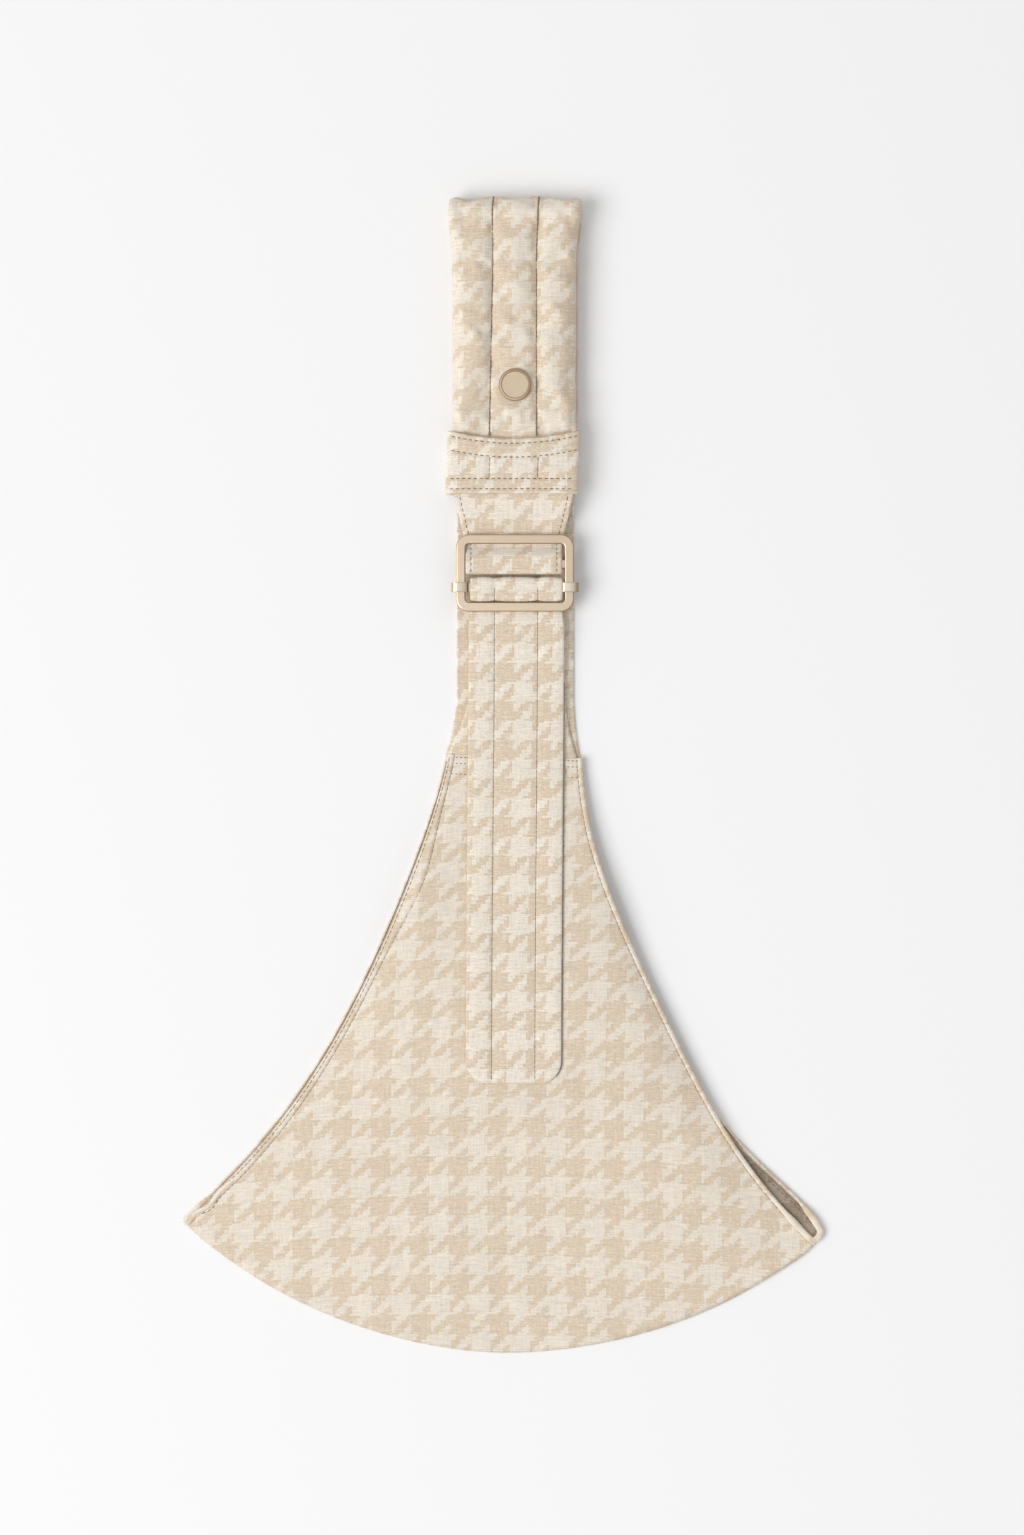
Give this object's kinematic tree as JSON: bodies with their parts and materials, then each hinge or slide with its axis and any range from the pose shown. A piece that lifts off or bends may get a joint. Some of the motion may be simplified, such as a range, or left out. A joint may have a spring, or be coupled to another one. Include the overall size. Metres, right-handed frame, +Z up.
{
  "type": "baby sling",
  "caption": "Baby carrying sling laid flat: bell-shaped cloth seat pouch, quilted adjuster strap, metal slide buckle and a folded padded shoulder strap with a press stud.",
  "frame": {"origin": "on the surface the sling lies on, under the strap's centre line, half way along the sling's length", "axes": "+Y up the strap from the seat pouch to the shoulder fold, +Z up off the surface, +X to the right as seen from above"},
  "size_m": [0.329, 0.5917, 0.0174],
  "materials": {
    "face_cloth": "woven houndstooth cloth in beige and cream, matt",
    "inner_cloth": "back of the same woven cloth, matt",
    "foam": "soft polyester wadding",
    "buckle_metal": "satin pale gold plating",
    "stud_metal": "satin pale gold plating"
  },
  "bodies": {
    "root": {"seat_back_panel": "face_cloth", "seat_front_panel": "face_cloth", "back_left_facing": "inner_cloth", "back_right_facing": "inner_cloth", "front_left_facing": "inner_cloth", "front_right_facing": "inner_cloth", "back_strap": "face_cloth", "adjuster_run": "face_cloth", "adjuster_loop": "face_cloth", "adjuster_tail": "face_cloth", "neck": "face_cloth", "neck_loop": "face_cloth", "front_cuff": "face_cloth", "back_cuff": "face_cloth", "pad_face": "face_cloth", "pad_lining": "inner_cloth", "foam_left": "foam", "foam_middle": "foam", "foam_right": "foam", "snap_cap": "stud_metal", "snap_socket": "stud_metal", "snap_stud": "stud_metal", "snap_post": "stud_metal"},
    "buckle": {"buckle_frame": "buckle_metal"},
    "slide": {"slide_bar": "buckle_metal"}
  },
  "joints": [
    {"name": "buckle_tilt", "type": "hinge", "parent": "root", "child": "buckle", "pos_m": [0, 0.1079, 0.0094], "axis": [-1, 0, 0], "range_deg": [0, 14], "deforming": ["adjuster_loop", "neck_loop"]},
    {"name": "slide_bar_travel", "type": "slide", "parent": "buckle", "child": "slide", "axis": [0, -1, 0], "range_m": [0, 0.002], "deforming": ["adjuster_loop"]}
  ]
}
